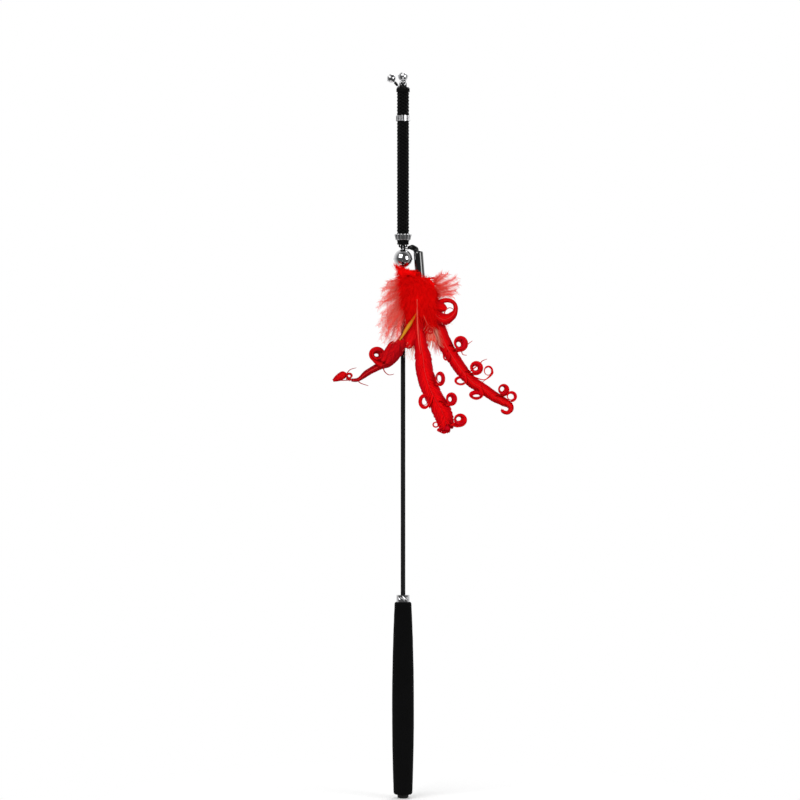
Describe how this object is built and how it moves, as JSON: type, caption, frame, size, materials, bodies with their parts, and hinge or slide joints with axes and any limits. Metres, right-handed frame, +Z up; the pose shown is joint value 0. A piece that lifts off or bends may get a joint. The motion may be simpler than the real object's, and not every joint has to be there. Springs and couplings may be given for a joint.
{
  "type": "cat teaser wand",
  "caption": "Hand-held wand: foam grip, thin rod, and a braided strap hanging from the tip that carries bells and a bunch of curled feathers.",
  "frame": {"origin": "middle of the grip, on the rod's axis", "axes": "+Z up the rod from the grip to the tip; the toy hangs in front of the rod at -Y; +X to the viewer's right"},
  "size_m": [0.1388, 0.0346, 0.5464],
  "materials": {
    "rod_paint": "satin black",
    "grip_foam": "matte closed-cell foam",
    "black_plastic": "moulded matte",
    "chrome": "bright plated",
    "pellet_steel": "plain steel",
    "braid": "braided, slightly fuzzy",
    "black_cord": "waxed thread",
    "holder_gloss": "glossy black",
    "red_feather": "dyed feather",
    "red_marabou": "dyed fluff",
    "pale_down": "thin dyed down"
  },
  "bodies": {
    "wand": {"rod": "rod_paint", "grip_core": "black_plastic", "foam_grip": "grip_foam", "end_plug": "black_plastic", "rope_collar": "chrome", "tip_cap": "black_plastic", "tip_eye": "chrome", "left_bell_tie": "black_cord", "left_bell_upper_shell": "chrome", "left_bell_lower_shell": "chrome", "left_bell_shank": "chrome", "right_bell_upper_shell": "chrome", "right_bell_lower_shell": "chrome", "right_bell_shank": "chrome"},
    "tip_link": {"tip_ring": "chrome"},
    "strap": {"braided_strap": "braid", "core_cord": "black_cord", "top_binding": "black_cord", "upper_band": "chrome", "lower_band": "chrome"},
    "large_bell": {"large_bell_upper_shell": "chrome", "large_bell_lower_shell": "chrome", "large_bell_shank": "chrome"},
    "feather_bunch": {"feather_holder": "holder_gloss", "holder_lace": "black_cord", "quill_plug": "black_plastic", "left_feather": "red_feather", "middle_feather": "red_feather", "right_feather": "red_feather", "loop_feather": "red_feather", "front_marabou": "red_marabou", "back_marabou": "red_marabou", "left_down": "pale_down", "right_down": "pale_down", "lower_down": "pale_down"},
    "left_pellet": {"left_bell_pellet": "pellet_steel"},
    "right_pellet": {"right_bell_pellet": "pellet_steel"},
    "large_pellet": {"large_bell_pellet": "pellet_steel"}
  },
  "joints": [
    {"name": "strap_sway", "type": "hinge", "parent": "wand", "child": "tip_link", "pos_m": [0, -0.00955, 0.4646], "axis": [0, 1, 0], "range_deg": [-30, 30]},
    {"name": "strap_swing", "type": "hinge", "parent": "tip_link", "child": "strap", "pos_m": [0, -0.00955, 0.4602], "axis": [-1, 0, 0], "range_deg": [0, 75]},
    {"name": "bell_swing", "type": "hinge", "parent": "strap", "child": "large_bell", "pos_m": [0, -0.00955, 0.3392], "axis": [-1, 0, 0], "range_deg": [0, 60]},
    {"name": "feather_swing", "type": "hinge", "parent": "strap", "child": "feather_bunch", "pos_m": [0, -0.00955, 0.3392], "axis": [-1, 0, 0], "range_deg": [0, 60]},
    {"name": "left_pellet_roll", "type": "hinge", "parent": "wand", "child": "left_pellet", "pos_m": [-0.0088, 0, 0.4666], "axis": [1, 0, 0], "range_deg": [-60, 60]},
    {"name": "right_pellet_roll", "type": "hinge", "parent": "wand", "child": "right_pellet", "pos_m": [0, 0, 0.46775], "axis": [1, 0, 0], "range_deg": [-60, 60]},
    {"name": "large_pellet_roll", "type": "hinge", "parent": "large_bell", "child": "large_pellet", "pos_m": [0, -0.00955, 0.33045], "axis": [1, 0, 0], "range_deg": [-60, 60]}
  ]
}
